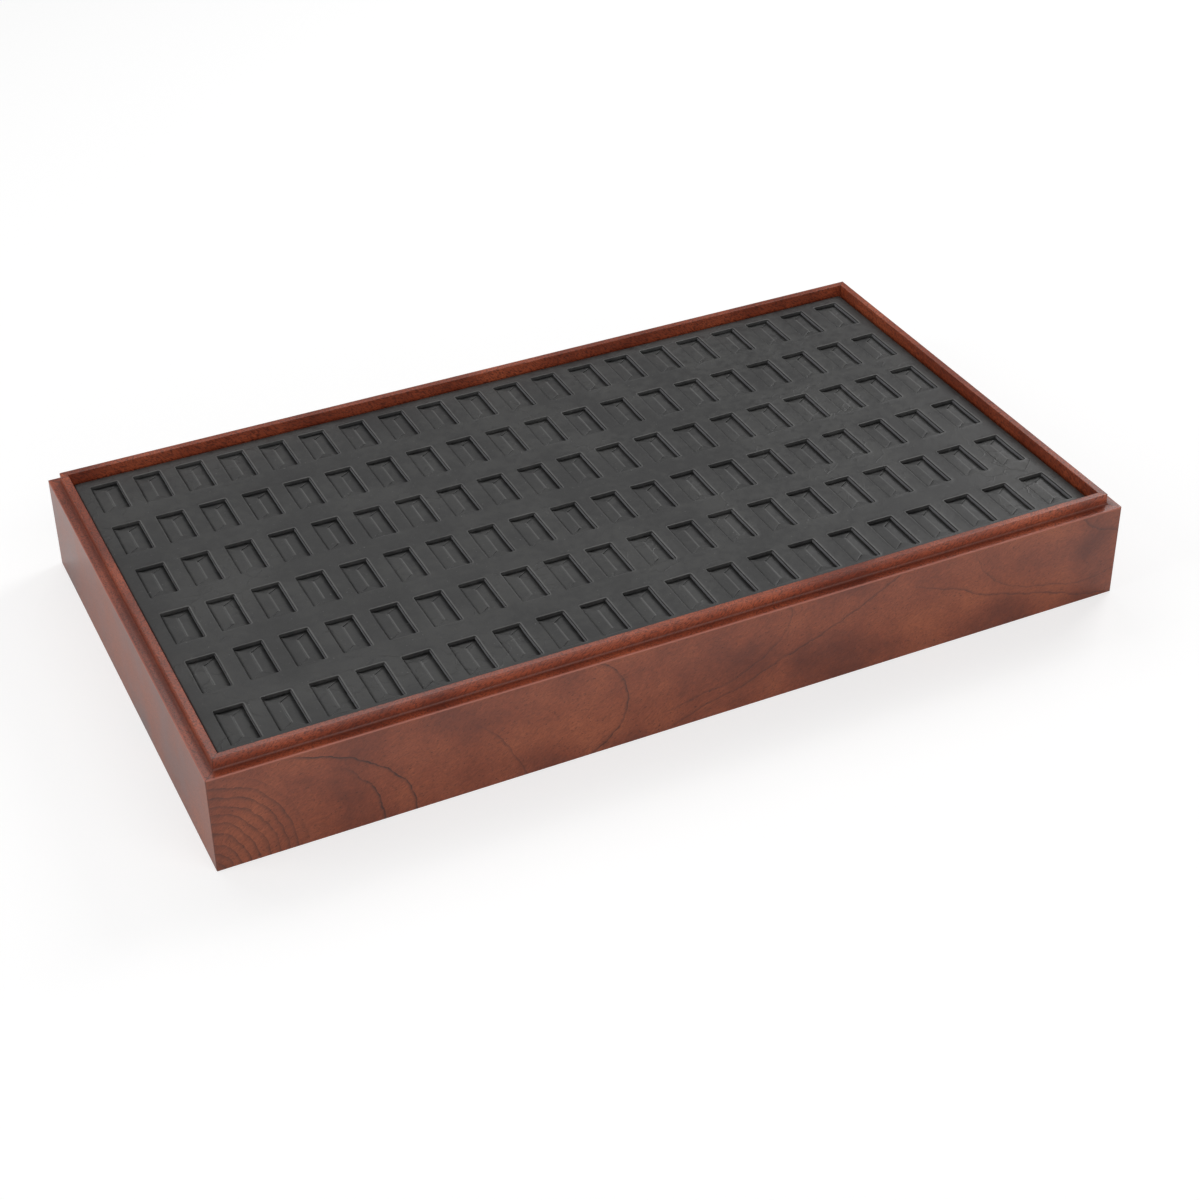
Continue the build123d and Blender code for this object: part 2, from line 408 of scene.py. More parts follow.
# How near a point is to the cove or the arris, which run along the board
def nearEdge(tree, inward, up, edge):
    away = addNode(tree, "VectorMath", {"operation": "DISTANCE", 1: (0, *edge["place"])},
                   {0: addNode(tree, "CombineXYZ", links={"Y": inward, "Z": up})}).outputs["Value"]
    return fading(tree, away, edge)


# How near a point is to either mitre of its board
def nearMitre(tree, along, inward, run):
    nearEnd = addNode(tree, "Math", {"operation": "SUBTRACT"}, {0: along, 1: inward})
    farEnd = addNode(tree, "Math", {"operation": "SUBTRACT", 0: run},
                     {1: addNode(tree, "Math", {"operation": "ADD"}, {0: along, 1: inward})})
    away = addNode(tree, "Math", {"operation": "MINIMUM"}, {0: nearEnd, 1: farEnd})
    return fading(tree, away, edges["mitre"])


def fading(tree, away, edge):
    start, end = edge["fade"]
    return addNode(tree, "MapRange", {
        "From Min": start, "From Max": end, "To Min": edge["strength"], "To Max": 0.0,
    }, {"Value": away})


# Long thin growth lines that close in arches, on the right and back boards
def archedLines(tree, wandered, seed):
    line = ringLines(tree, grainFigure(tree, wandered, seed, figures["arch"]), growth["arches"],
                     growth["archSharpness"])
    return addNode(tree, "Math", {"operation": "MULTIPLY", 1: growth["archDark"]}, {0: line})


# Cuts a value into thin lines, so many in each unit
def ringLines(tree, value, count, sharpness):
    phase = addNode(tree, "Math", {"operation": "FRACT"}, {
        0: addNode(tree, "Math", {"operation": "MULTIPLY", 1: count}, {0: value}),
    })
    return addNode(tree, "Math", {"operation": "POWER", 1: sharpness}, {0: phase})


# Thin dark lines on the front board, each part of an ellipse, and a knot's close rings at the left
def growthLines(tree, wandered, along, seed):
    wobble = addNode(tree, "TexNoise", {
        "noise_dimensions": "4D", "W": seed + 6, "Scale": growth["wobbleScale"], "Detail": 3.0,
        "Roughness": 0.6,
    }, {"Vector": wandered})
    reach = growth["wobble"]
    offset = addNode(tree, "VectorMath", {
        "operation": "MULTIPLY_ADD", 1: (reach, 0, reach), 2: (-reach / 2, 0, -reach / 2),
    }, {0: wobble.outputs["Color"]})
    wavy = addNode(tree, "VectorMath", {"operation": "ADD"}, {0: wandered, 1: offset})

    _, length = fromCentre(tree, wavy, frontKnot["centre"], frontKnot["radii"])
    rings = ringLines(tree, length, frontKnot["rings"], frontKnot["sharpness"])
    total = addNode(tree, "Math", {"operation": "MULTIPLY"},
                    {0: rings, 1: showing(tree, length, frontKnot["edge"], frontKnot["dark"])})
    for centre, radii, start, dark in frontLines:
        line = ellipseLine(tree, wavy, centre, radii)
        before, after = growth["start"]
        shown = showing(tree, along, (start + before, start + after), dark)
        strength = addNode(tree, "Math", {"operation": "MULTIPLY"}, {0: line, 1: shown})
        total = addNode(tree, "Math", {"operation": "MAXIMUM"}, {0: total, 1: strength})

    # Lines break up along their length
    breaks = addNode(tree, "TexNoise", {
        "noise_dimensions": "4D", "W": seed + 7, "Scale": growth["breakScale"], "Detail": 2.0,
    }, {"Vector": wandered})
    start, end = growth["breakShows"]
    broken = addNode(tree, "MapRange", {"From Min": start, "From Max": end, "To Min": growth["brokenTone"]},
                     {"Value": breaks})
    return addNode(tree, "Math", {"operation": "MULTIPLY"}, {0: total, 1: broken})


# A point's place seen from an ellipse's centre, in radii, and its length, which is 1 on the ellipse
def fromCentre(tree, place, centre, radii):
    offCentre = addNode(tree, "VectorMath", {"operation": "SUBTRACT", 1: (centre[0], 0, centre[1])},
                        {0: place})
    unit = addNode(tree, "VectorMath", {"operation": "MULTIPLY", 1: (1 / radii[0], 0, 1 / radii[1])},
                   {0: offCentre})
    return unit, addNode(tree, "VectorMath", {"operation": "LENGTH"}, {0: unit}).outputs["Value"]


# One growth line, with a sharp outer side and a soft inner one, as late wood has
def ellipseLine(tree, wavy, centre, radii):
    unit, length = fromCentre(tree, wavy, centre, radii)
    slope = addNode(tree, "VectorMath", {"operation": "MULTIPLY", 1: (1 / radii[0], 0, 1 / radii[1])},
                    {0: unit})
    steepness = addNode(tree, "VectorMath", {"operation": "LENGTH"}, {0: slope}).outputs["Value"]
    over = addNode(tree, "Math", {"operation": "SUBTRACT", 1: 1.0}, {0: length})
    distance = addNode(tree, "Math", {"operation": "DIVIDE"}, {
        0: addNode(tree, "Math", {"operation": "MULTIPLY"}, {0: over, 1: length}), 1: steepness,
    })
    inner = addNode(tree, "Math", {"operation": "POWER", 1: growth["innerFall"]},
                    {0: showing(tree, distance, growth["innerSide"])})
    return addNode(tree, "Math", {"operation": "MULTIPLY"},
                   {0: inner, 1: showing(tree, distance, growth["outerSide"])})


for name in boards:
    dress(name, stainedWood(name))
print("boards stained")


# Plain woods under the insert and in the mitres

plainWoods = {
    "sawn_pine": {"light": "#c9a273", "dark": "#a77a4c", "roughness": 0.7, "ring": 1.6},
    "birch_plywood": {"light": "#c4a57c", "dark": "#a98459", "roughness": 0.62, "ring": 2.6},
    "beech_tongue": {"light": "#b98c66", "dark": "#96694a", "roughness": 0.6, "ring": 0.9},
}
grainLength = 60.0  # mm


# Sawn or peeled wood without finish: pale, matt, with soft straight grain that runs along the piece
def plainWood(kind, longAxis):
    look = plainWoods[kind]
    material, tree = newMaterial(f"{kind}_{longAxis}")
    place = addNode(tree, "TexCoord").outputs["Object"]
    scale = [1 / (look["ring"] * mm)] * 3
    scale["xyz".index(longAxis)] = 1 / (grainLength * mm)
    grainPlace = addNode(tree, "Mapping", {"Scale": scale}, {"Vector": place})
    grain = addNode(tree, "TexNoise", {"Scale": 1.0, "Detail": 4.0, "Roughness": 0.6, "Distortion": 0.3},
                    {"Vector": grainPlace})
    tone = colorStops(addNode(tree, "ValToRGB", links={"Fac": grain}), [
        (0.35, look["dark"]), (0.65, look["light"]),
    ])
    relief = addNode(tree, "Bump", {"Strength": 0.4, "Distance": 0.06 * mm}, {"Height": grain})
    finishMaterial(tree, {"Roughness": look["roughness"], "IOR": 1.5},
                   {"Base Color": tone, "Normal": relief})
    return material


pineX, pineY = plainWood("sawn_pine", "x"), plainWood("sawn_pine", "y")
for name in ("front_batten", "back_batten"):
    dress(name, pineX)
for name in ("left_batten", "right_batten", "middle_batten"):
    dress(name, pineY)
dress("bottom_panel", plainWood("birch_plywood", "x"))
tongueWood = plainWood("beech_tongue", "z")
for name in nodes:
    if name.startswith("mitre_spline_"):
        dress(name, tongueWood)


# Greyboard: pressed waste paper, matt, with fine flecks

wastePaper = {"dark": "#6f6a63", "light": "#8d877d", "roughness": 0.85, "fleck": 0.8, "relief": 0.04}


def greyboard():
    material, tree = newMaterial("pressed_greyboard")
    place = addNode(tree, "TexCoord").outputs["Object"]
    fleck = addNode(tree, "TexNoise", {
        "Scale": 1 / (wastePaper["fleck"] * mm), "Detail": 5.0, "Roughness": 0.7,
    }, {"Vector": place})
    tone = colorStops(addNode(tree, "ValToRGB", links={"Fac": fleck}), [
        (0.3, wastePaper["dark"]), (0.7, wastePaper["light"]),
    ])
    relief = addNode(tree, "Bump", {"Strength": 0.3, "Distance": wastePaper["relief"] * mm},
                     {"Height": fleck})
    finishMaterial(tree, {"Roughness": wastePaper["roughness"]}, {"Base Color": tone, "Normal": relief})
    return material


card = greyboard()
dress("window_board", card)
dress("insert_backing", card)
print("hidden woods and card done")


# Leatherette: charcoal coated cloth with a fine matt grain, drawn tight over the insert.
# The eye sees a soft even grey with faint mottling, a few curved creases and tiny pale specks.

leatherette = {
    "dark": "#2a2a2a",
    "light": "#3a3a39",
    "toneStops": (0.43, 0.57),
    "speck": "#6a6a68",
    "paintedWallLight": "#8c8c8e",  # painted light on the walls of the windows that face left
    # painted highlight on a window's bead and on the pad's cut edges
    "paintedHighlight": "#6c6c6b",
    "ior": 1.5,
    "roughness": 0.52,
    "roughnessPlay": (-0.06, 0.08),
    "mottle": 3.2,  # mm
    "mottleShare": 0.55,
    "cloud": 26.0,  # mm
    "cloudShare": 0.45,
    "speckSize": 1.1,  # mm
    "speckShows": (0.725, 0.79),
    "speckPale": 0.6,
    "grain": 0.55,  # mm between grain cells
    "grainRim": 0.25,
    "crease": 13.0,  # mm between creases
    "creaseBend": 14.0,  # mm, how far they bend
    "creaseBendLength": 9.0,  # mm
    "creaseWidth": 0.045,  # share of the space between two creases
    "creaseShows": (0.5, 0.62),
    # strength and mm of relief of the grain, the mottling and the creases
    "reliefs": ((0.25, 0.03), (0.5, 0.3), (0.8, 0.12)),
    "crestDepth": (-0.08, -0.17),  # mm under the face, so over it, where a window's bead gets the painted highlight
    "crestHighlightStrength": 0.65,
    "turnDepth": (0.25, 0.7),  # mm under the face, where its walls get the painted light
    "paintedLightFacing": (-0.3, -0.9),  # how far a wall faces left
    "paintedLightLeast": 0.06,
}


def coatedCloth(name, look, hasWindows=False, hasCuts=False):
    material, tree = newMaterial(name)
    inMm = addNode(tree, "VectorMath", {"operation": "SCALE", "Scale": 1 / mm},
                   {0: addNode(tree, "TexCoord").outputs["Object"]})
    cloud = addNode(tree, "TexNoise", {"Scale": 1 / look["cloud"], "Detail": 2.0, "Roughness": 0.5},
                    {"Vector": inMm})
    mottle = addNode(tree, "TexNoise", {"Scale": 1 / look["mottle"], "Detail": 4.0, "Roughness": 0.6},
                     {"Vector": inMm})
    mottlePart = addNode(tree, "Math", {"operation": "MULTIPLY", 1: look["mottleShare"]}, {0: mottle})
    blend = addNode(tree, "Math", {"operation": "MULTIPLY_ADD", 1: look["cloudShare"]},
                    {0: cloud, 2: mottlePart})
    stops = zip(look["toneStops"], (look["dark"], look["light"]))
    color = colorStops(addNode(tree, "ValToRGB", links={"Fac": blend}), list(stops))
    speck = addNode(tree, "TexNoise", {"Scale": 1 / look["speckSize"], "Detail": 1.0, "Roughness": 0.5},
                    {"Vector": inMm})
    color = tint(tree, color, look["speck"], showing(tree, speck, look["speckShows"], look["speckPale"]))
    if hasWindows:
        color = paintedWindowLight(tree, inMm, color, look)
    if hasCuts:
        # Painted highlight along the pad's cut edges
        cut = addNode(tree, "Attribute", {"attribute_name": "cutHighlight"})
        color = tint(tree, color, look["paintedHighlight"], cut.outputs["Fac"])

    cells = addNode(tree, "TexVoronoi", {"feature": "DISTANCE_TO_EDGE", "Scale": 1 / look["grain"]},
                    {"Vector": inMm})
    grain = showing(tree, cells, (0.0, look["grainRim"]))
    relief = None
    heights = (grain, mottle, creases(tree, inMm, cloud, look))
    for height, (strength, depth) in zip(heights, look["reliefs"]):
        links = {"Height": height}
        if relief is not None:
            links["Normal"] = relief
        relief = addNode(tree, "Bump", {"Strength": strength, "Distance": depth * mm}, links)
    least, most = (look["roughness"] + play for play in look["roughnessPlay"])
    roughness = addNode(tree, "MapRange", {
        "From Min": 0.35, "From Max": 0.65, "To Min": least, "To Max": most,
    }, {"Value": mottle})
    finishMaterial(tree, {"IOR": look["ior"]},
                   {"Base Color": color, "Roughness": roughness, "Normal": relief})
    return material


# Bent creases, here and there
def creases(tree, inMm, cloud, look):
    bend = addNode(tree, "TexNoise", {"Scale": 1 / look["creaseBendLength"], "Detail": 2.0},
                   {"Vector": inMm})
    bent = addNode(tree, "VectorMath", {"operation": "MULTIPLY_ADD", 1: (look["creaseBend"],) * 3},
                   {0: bend.outputs["Color"], 2: inMm})
    cells = addNode(tree, "TexVoronoi", {"feature": "DISTANCE_TO_EDGE", "Scale": 1 / look["crease"]},
                    {"Vector": bent})
    crease = showing(tree, cells, (look["creaseWidth"], 0.0))
    return addNode(tree, "Math", {"operation": "MULTIPLY"},
                   {0: crease, 1: showing(tree, cloud, look["creaseShows"])})


# Round a window: a painted highlight on the crest of the bead, and painted light on the turned-in walls,
# most of all on the right walls, which face left
def paintedWindowLight(tree, inMm, color, look):
    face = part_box("window_cover")[1].z / mm
    height = addNode(tree, "SeparateXYZ", links={"Vector": inMm}).outputs["Z"]
    depth = addNode(tree, "Math", {"operation": "SUBTRACT", 0: face}, {1: height})
    crestHighlightMask = showing(tree, depth, look["crestDepth"], look["crestHighlightStrength"])
    crestHighlighted = tint(tree, color, look["paintedHighlight"], crestHighlightMask)
    normal = addNode(tree, "NewGeometry").outputs["True Normal"]
    facing = addNode(tree, "SeparateXYZ", links={"Vector": normal})
    start, end = look["paintedLightFacing"]
    litByFacing = addNode(tree, "MapRange", {"From Min": start, "From Max": end, "To Min": look["paintedLightLeast"]},
                    {"Value": facing.outputs["X"]})
    pale = addNode(tree, "Math", {"operation": "MULTIPLY"},
                   {0: showing(tree, depth, look["turnDepth"]), 1: litByFacing})
    return tint(tree, crestHighlighted, look["paintedWallLight"], pale)


# Layout of the ring windows, in mm
grid = {"columns": 20, "rows": 6, "pitchX": 17.7, "pitchY": 32.3, "windowX": 11.1, "windowY": 20.9}


def windowCentres():
    for row in range(grid["rows"]):
        for column in range(grid["columns"]):
            yield (
                column, row,
                (column - (grid["columns"] - 1) / 2) * grid["pitchX"],
                (row - (grid["rows"] - 1) / 2) * grid["pitchY"],
            )


# Window cover

cover = {
    "thickness": 0.55,
    "cornerRound": 1.5,  # upright corners of the insert
    "edgeRound": 1.0,
    "hemRound": 0.6,
    "hem": 12.0,
    "sideSteps": (0.85, 0.6, 0.35, 0.12),  # shares of the side's height at which it has a row of points
    "hemSteps": (0.3, 0.65, 1.0),  # the same for the hem
    "windowCorner": 0.35,
    "windowMargin": 1.0,  # mm round a window, where the flat face round it takes its points from
    "bead": 0.17,  # mm, how far the turned-in edge stands up round a window
    # shares of it at right, left, back and front
    "beadShares": ((0.9, 1.25), (0.3, 0.7), (0.75, 1.15), (0.3, 0.7)),
    # mm out from the window's edge and share of the bead's height, from the flat face inward
    "beadSection": ((2.3, 0.0), (1.4, 0.1), (0.85, 0.32), (0.52, 0.8), (0.32, 1.0), (0.15, 0.85),
                    (0.03, 0.3)),
    "wallDepths": (0.12, 0.7, 2.1),
    "unevenness": 0.07,  # mm, how far a window's edge strays
    "waves": 3,
    "sideHold": 8,  # how sharply one side's bead gives way to the next at a corner
    "seed": 7,
}


# Rounded rectangle as a list of (x, y), counter-clockwise, with every list of one count in step
def outline(halfX, halfY, radius, cornerSteps=2, stepsX=4, stepsY=7):
    corners = ((1, 1), (-1, 1), (-1, -1), (1, -1))
    points = []
    for quarter, (signX, signY) in enumerate(corners):
        for i in range(cornerSteps + 1):
            angle = math.radians(90 * (quarter + i / cornerSteps))
            points.append((signX * (halfX - radius) + radius * math.cos(angle),
                           signY * (halfY - radius) + radius * math.sin(angle)))
        startX, startY = points[-1]
        steps = stepsY if quarter % 2 else stepsX
        endX, endY = (startX, -startY) if quarter % 2 else (-startX, startY)
        for i in range(1, steps):
            points.append((startX + (endX - startX) * i / steps, startY + (endY - startY) * i / steps))
    return points


def isNear(a, b, slack=1e-6):
    return abs(a - b) < slack


def buildCover():
    low, high = (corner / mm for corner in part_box("window_cover"))
    shell = newShell()
    rand = random.Random(cover["seed"])
    edgeX, edgeY = high.x - cover["cornerRound"], high.y - cover["cornerRound"]
    border = set()
    for column, row, cx, cy in windowCentres():
        patch = windowPatch(column, row, cx, cy, edgeX, edgeY)
        border.update((x, y) for x, y in patch if isNear(abs(x), edgeX) or isNear(abs(y), edgeY))
        rings = [[shellPoint(shell, x, y, high.z) for x, y in patch]]
        rings += windowRings(shell, cx, cy, high.z, rand)
        for outerRing, innerRing in zip(rings, rings[1:]):
            joinRings(shell, outerRing, innerRing)
    addHem(shell, border, edgeX, edgeY, low.z, high.z)
    return shell


# Edge of one window's own patch of the face, with points in step with the window's outline
def windowPatch(column, row, cx, cy, edgeX, edgeY):
    halfX, halfY, margin = grid["windowX"] / 2, grid["windowY"] / 2, cover["windowMargin"]
    left = -edgeX if column == 0 else cx - grid["pitchX"] / 2
    right = edgeX if column == grid["columns"] - 1 else cx + grid["pitchX"] / 2
    front = -edgeY if row == 0 else cy - grid["pitchY"] / 2
    back = edgeY if row == grid["rows"] - 1 else cy + grid["pitchY"] / 2
    patch = []
    for x, y in outline(halfX + margin, halfY + margin, cover["windowCorner"] + margin):
        sideX = right if x > 0 else left
        sideY = back if y > 0 else front
        if isNear(abs(x) - abs(y), halfX - halfY):
            patch.append((sideX, sideY))
        elif abs(x) - halfX > abs(y) - halfY:
            patch.append((sideX, cy + y))
        else:
            patch.append((cx + x, sideY))
    return patch


# Rings of one window, over the bead and down the wall. Each window strays a little from true, and its
# bead is uneven from side to side.
def windowRings(shell, cx, cy, face, rand):
    halfX, halfY = grid["windowX"] / 2, grid["windowY"] / 2
    # Two more draws than are used, which keep the later windows as they are
    offX, swingX, offY, swingY = [rand.uniform(-1, 1) * cover["unevenness"] for _ in range(6)][:4]
    phase = rand.uniform(0, 6)
    beads = [rand.uniform(*shares) for shares in cover["beadShares"]]
    levels = [(offset, cover["bead"] * share) for offset, share in cover["beadSection"]]
    levels += [(0.0, -depth) for depth in cover["wallDepths"]]
    rings = []
    for offset, rise in levels:
        near = 1 - offset / cover["beadSection"][0][0]
        ring = []
        for x, y in outline(halfX + offset, halfY + offset, cover["windowCorner"] + offset):
            weightX, weightY = abs(x / halfX) ** cover["sideHold"], abs(y / halfY) ** cover["sideHold"]
            beadX, beadY = beads[0 if x > 0 else 1], beads[2 if y > 0 else 3]
            bead = (weightX * beadX + weightY * beadY) / (weightX + weightY)
            wave = math.sin(cover["waves"] * y / halfY + phase)
            strayX = (offX + swingX * wave) * near * min(1, weightX)
            strayY = (offY + swingY * x / halfX) * near * min(1, weightY)
            lift = rise * bead if rise > 0 else rise
            ring.append(shellPoint(shell, cx + x + strayX, cy + y + strayY, face + lift))
        rings.append(ring)
    return rings


# Edge of the insert: rounded over, down the sides, and turned under as a hem
def addHem(shell, border, edgeX, edgeY, bottom, face):
    inset, bend, soft = cover["cornerRound"], cover["edgeRound"], cover["hemRound"]
    corners = {(True, True): 0, (False, True): 90, (False, False): 180, (True, False): 270}
    fans = []
    for x, y in sorted(border, key=lambda point: math.atan2(point[1] / edgeY, point[0] / edgeX)):
        onX, onY = isNear(abs(x), edgeX), isNear(abs(y), edgeY)
        if onX and onY:
            fans += [(x, y, corners[x > 0, y > 0] + 90 * i / 4) for i in range(5)]
        elif onX:
            fans.append((x, y, 0 if x > 0 else 180))
        else:
            fans.append((x, y, 90 if y > 0 else 270))
    steps = [(0.0, face)]
    for i in range(6):
        angle = math.radians(90 * i / 5)
        steps.append((inset - bend + bend * math.sin(angle), face - bend + bend * math.cos(angle)))
    for share in cover["sideSteps"]:
        steps.append((inset, bottom + soft + (face - bend - bottom - soft) * share))
    for i in range(5):
        angle = math.radians(90 * i / 4)
        steps.append((inset - soft + soft * math.cos(angle), bottom + soft - soft * math.sin(angle)))
    for share in cover["hemSteps"]:
        steps.append((inset - soft - (cover["hem"] - soft) * share, bottom))
    rings = []
    for offset, z in steps:
        ring = []
        for x, y, degrees in fans:
            angle = math.radians(degrees)
            if offset < 0:
                limitX, limitY = edgeX + offset, edgeY + offset
                place = (max(-limitX, min(limitX, x)), max(-limitY, min(limitY, y)))
            else:
                place = (x + offset * math.cos(angle), y + offset * math.sin(angle))
            ring.append(shellPoint(shell, *place, z))
        rings.append(ring)
    for upper, lower in zip(rings, rings[1:]):
        joinRings(shell, lower, upper)


coverCloth = coatedCloth("coated_cloth_cover", leatherette, hasWindows=True)
coverShell = buildCover()
coverPiece = newPiece("insert_cover", coverShell, coverCloth)
skin = coverPiece.modifiers.new("skin", "SOLIDIFY")
skin.thickness, skin.offset = cover["thickness"] * mm, -1
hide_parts("window_cover")
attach(coverPiece, "insert")
print("cover built:", len(coverShell["points"]), "points")


# Ring pad

pad = {
    # mm from the face of the insert down to a flap's outer edge, to its inner edge and to its corners
    "depths": {"left": (0.85, 0.62, 0.9), "right": (1.75, 1.1, 1.65), "front": (0.62, 0.66, 0.75),
               "back": (1.5, 0.95, 1.6)},
    # how strong the painted highlight on each side's flap cut edges is
    "cutHighlightStrength": {"left": 0.3, "right": 0.8, "front": 0.6, "back": 0.2},
    "least": 0.5,  # mm, the depth above which no flap rises
    "play": 0.03,  # between a flap and the wall of its window
    "hipRun": 4.1,
    "slit": 0.1,
    "tipGap": 0.7,  # of half the slit, left between the tip of a front or back flap and a side flap
    "tipWidth": 0.02,
    "cutRound": 0.12,  # how far a flap rolls down along its cuts
    "pitDepth": 2.2,  # mm under the window board
    "rootDepth": 0.2,  # mm that a flap goes down into the block
    "jitter": 0.12,
    # Places of a flap's points from the window's edge to the ridge and from the middle to a cut, as
    # shares of the way, each with how far the top has rolled down there
    "towardRidge": ((0, 0), (0.3, 0), (0.6, 0), (0.88, 0), (0.95, 0.15), (0.985, 0.5), (1, 1)),
    "towardCut": ((0.25, 0), (0.6, 0), (0.88, 0), (0.95, 0.15), (0.98, 0.5), (1, 1)),
    "seed": 19,
}


# Shell of the pad, and how strong the painted highlight is at each point of a flap's cut edge
def buildPad():
    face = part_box("window_cover")[1].z / mm
    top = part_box("window_board")[0].z / mm
    floor = top - pad["pitDepth"]
    shell = newShell()
    addBlock(shell, top, floor)
    rand = random.Random(pad["seed"])
    cutHighlights = {}
    for _, _, cx, cy in windowCentres():
        for flap in ("left", "right", "front", "back"):
            addFlap(shell, cutHighlights, flap, cx, cy, face, floor, rand)
    return shell, cutHighlights


# Foam block with one pit for each window
def addBlock(shell, top, floor):
    low, high = (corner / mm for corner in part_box("ring_pad"))
    linesX = pitEdges(low.x, high.x, grid["columns"], grid["pitchX"], grid["windowX"])
    linesY = pitEdges(low.y, high.y, grid["rows"], grid["pitchY"], grid["windowY"])

    def ringAt(places, z):
        return [shellPoint(shell, linesX[i], linesY[j], z) for i, j in places]

    lastX, lastY = len(linesX) - 1, len(linesY) - 1
    for i in range(lastX):
        for j in range(lastY):
            cell = [(i, j), (i + 1, j), (i + 1, j + 1), (i, j + 1)]
            isPit = i % 2 == 1 and j % 2 == 1
            shell["faces"].append(ringAt(cell, floor if isPit else top))
            shell["faces"].append(ringAt(cell[::-1], low.z))
            if isPit:
                joinRings(shell, ringAt(cell, floor), ringAt(cell, top))
    rim = gridRim(lastX, lastY)
    joinRings(shell, ringAt(rim, low.z), ringAt(rim, top))


def pitEdges(start, end, count, pitch, window):
    half = (window - pad["play"]) / 2
    centres = [(n - (count - 1) / 2) * pitch for n in range(count)]
    return [start] + [centre + side * half for centre in centres for side in (-1, 1)] + [end]


# One flap: a closed block with a nearly flat top, rolled down along its cuts
def addFlap(shell, cutHighlights, flap, cx, cy, face, floor, rand):
    points, faces = shell["points"], shell["faces"]
    halfX, halfY = grid["windowX"] / 2 - pad["play"], grid["windowY"] / 2 - pad["play"]
    run, slit = pad["hipRun"], pad["slit"] / 2
    lift, tilt, sink = (rand.uniform(-1, 1) * pad["jitter"] for _ in range(3))
    isSide = flap in ("left", "right")
    sign = -1 if flap in ("left", "front") else 1
    outerDepth, innerDepth, cornerDepth = pad["depths"][flap]
    towardCut = pad["towardCut"]
    acrossFlap = [(-v, roll) for v, roll in reversed(towardCut)] + [(0, 0), *towardCut]

    def topAt(u, v):
        outer = outerDepth + (cornerDepth - outerDepth) * abs(v) ** 3
        depth = outer * (1 - u) + innerDepth * u - lift * u - tilt * u * v - sink * (1 - u) * 0.5
        return face - max(depth, pad["least"])

    rows = []
    for u, rollU in pad["towardRidge"]:
        line = []
        for v, rollV in acrossFlap:
            if isSide:
                x = sign * (halfX * (1 - u) + slit * u)
                y = v * (halfY - run * u - slit)
            else:
                x = v * max(halfX * (1 - u) - slit * pad["tipGap"], pad["tipWidth"])
                y = sign * (halfY - run * u)
            cutHighlights[len(points)] = pad["cutHighlightStrength"][flap] * (rollU > 0 or (rollV > 0 and not isSide))
            line.append(len(points))
            points.append((cx + x, cy + y, topAt(u, v) - pad["cutRound"] * max(rollU, rollV)))
        rows.append(line)
    isTurned = flap in ("right", "front")
    for a, b in zip(rows, rows[1:]):
        for j in range(len(a) - 1):
            quad = [a[j], a[j + 1], b[j + 1], b[j]]
            faces.append(quad[::-1] if isTurned else quad)

    # Sides and underside
    rim = [rows[i][j] for j, i in gridRim(len(acrossFlap) - 1, len(rows) - 1)]
    root = []
    for n in rim:
        root.append(len(points))
        points.append((points[n][0], points[n][1], floor - pad["rootDepth"]))
    if isTurned:
        joinRings(shell, rim, root)
        faces.append(root)
    else:
        joinRings(shell, root, rim)
        faces.append(root[::-1])


padShell, padCutHighlights = buildPad()
padCloth = coatedCloth("coated_cloth_pad", leatherette, hasCuts=True)
padPiece = newPiece("slotted_pad", padShell, padCloth)
cutHighlight = padPiece.data.attributes.new("cutHighlight", "FLOAT", "POINT")
for point, value in padCutHighlights.items():
    cutHighlight.data[point].value = value
for polygon in padPiece.data.polygons:
    polygon.use_smooth = len(polygon.vertices) == 4 and abs(polygon.normal.z) > 0.5
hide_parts("ring_pad")
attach(padPiece, "insert")
print("pad built:", len(padShell["points"]), "points")


# Felt under the tray

felt = {
    "thickness": 0.95,
    "spacing": 4.0,
    "waviness": 0.25,
    "waves": (0.31, 0.27),  # radians in each mm along the ends and along the long sides
    "nap": 0.06,  # mm, how far the underside rises and falls
    "edgeLift": 0.25,
    "dark": "#141415",
    "light": "#2b2b2c",
    "hair": 0.7,  # mm
    "relief": 0.2,
    "roughness": 0.95,
    "sheen": 0.5,
    "seed": 5,
}


# Pressed wool felt: matt black, slightly hairy, with faint clouds
def pressedFelt():
    material, tree = newMaterial("pressed_wool_felt")
    hair = addNode(tree, "TexNoise", {
        "Scale": 1 / (felt["hair"] * mm), "Detail": 6.0, "Roughness": 0.75, "Distortion": 1.4,
    }, {"Vector": addNode(tree, "TexCoord").outputs["Object"]})
    tone = colorStops(addNode(tree, "ValToRGB", links={"Fac": hair}),
                      [(0.3, felt["dark"]), (0.7, felt["light"])])
    relief = addNode(tree, "Bump", {"Strength": 0.7, "Distance": felt["relief"] * mm}, {"Height": hair})
    finishMaterial(tree, {
        "Roughness": felt["roughness"], "Sheen Weight": felt["sheen"], "Sheen Roughness": 0.5,
    }, {"Base Color": tone, "Normal": relief})
    return material


